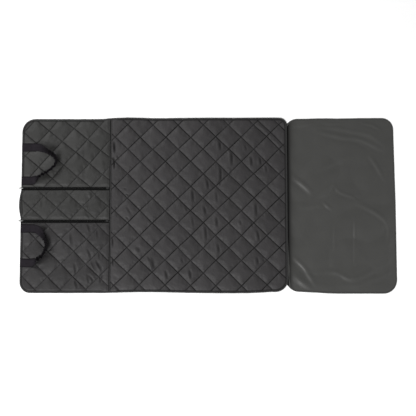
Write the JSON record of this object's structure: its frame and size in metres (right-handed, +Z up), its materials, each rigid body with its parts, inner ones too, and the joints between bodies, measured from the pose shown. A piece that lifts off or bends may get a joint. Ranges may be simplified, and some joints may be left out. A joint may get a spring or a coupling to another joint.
{
  "type": "cargo liner",
  "caption": "Folding cargo liner laid flat: quilted floor panel, zip-divided quilted back-rest sections with strap loops, and a plain bumper flap.",
  "frame": {"origin": "centre of the floor panel's underside, on the plane that the liner lies on", "axes": "+X towards the bumper flap, +Y across the vehicle, +Z up out of the quilted face"},
  "size_m": [2.2625, 1.055, 0.0575],
  "materials": {
    "quilted_fabric": "woven polyester, quilted, slight sheen",
    "coated_fabric": "smooth coated cloth, satin",
    "binding_tape": "narrow woven tape, matt",
    "strap_band": "hook and loop band, fuzzy",
    "zip_tape": "woven zip tape, matt",
    "zip_coil": "nylon coil",
    "black_metal": "black lacquer",
    "bright_metal": "bare nickel, satin"
  },
  "bodies": {
    "liner": {"floor_panel": "quilted_fabric", "back_panel_upper": "quilted_fabric", "back_panel_middle": "quilted_fabric", "back_panel_lower": "quilted_fabric", "bumper_flap": "coated_fabric", "body_binding": "binding_tape", "middle_binding": "binding_tape", "flap_binding": "binding_tape", "fold_seam_tape": "binding_tape", "zip_upper_tape_outer": "zip_tape", "zip_upper_tape_inner": "zip_tape", "zip_upper_coil_outer": "zip_coil", "zip_upper_coil_inner": "zip_coil", "zip_upper_stop_outer": "black_metal", "zip_upper_stop_inner": "black_metal", "zip_upper_retainer": "black_metal", "zip_lower_tape_outer": "zip_tape", "zip_lower_tape_inner": "zip_tape", "zip_lower_coil_outer": "zip_coil", "zip_lower_coil_inner": "zip_coil", "zip_lower_stop_outer": "black_metal", "zip_lower_stop_inner": "black_metal", "zip_lower_retainer": "black_metal", "headrest_strap_upper_loop": "strap_band", "headrest_strap_upper_hook": "strap_band", "headrest_strap_lower_loop": "strap_band", "headrest_strap_lower_hook": "strap_band"},
    "upper_slider": {"zip_upper_slider": "black_metal"},
    "upper_pull": {"zip_upper_pull": "bright_metal"},
    "lower_slider": {"zip_lower_slider": "black_metal"},
    "lower_pull": {"zip_lower_pull": "bright_metal"}
  },
  "joints": [
    {"name": "upper_zip_slide", "type": "slide", "parent": "liner", "child": "upper_slider", "axis": [1, 0, 0], "range_m": [0, 0.49], "deforming": ["zip_upper_coil_outer", "zip_upper_coil_inner"]},
    {"name": "upper_pull_hinge", "type": "hinge", "parent": "upper_slider", "child": "upper_pull", "pos_m": [-1.0555, 0.098, 0.00845], "axis": [0, 1, 0], "range_deg": [0, 170]},
    {"name": "lower_zip_slide", "type": "slide", "parent": "liner", "child": "lower_slider", "axis": [1, 0, 0], "range_m": [0, 0.49], "deforming": ["zip_lower_coil_outer", "zip_lower_coil_inner"]},
    {"name": "lower_pull_hinge", "type": "hinge", "parent": "lower_slider", "child": "lower_pull", "pos_m": [-1.0555, -0.098, 0.00845], "axis": [0, 1, 0], "range_deg": [0, 170]}
  ]
}
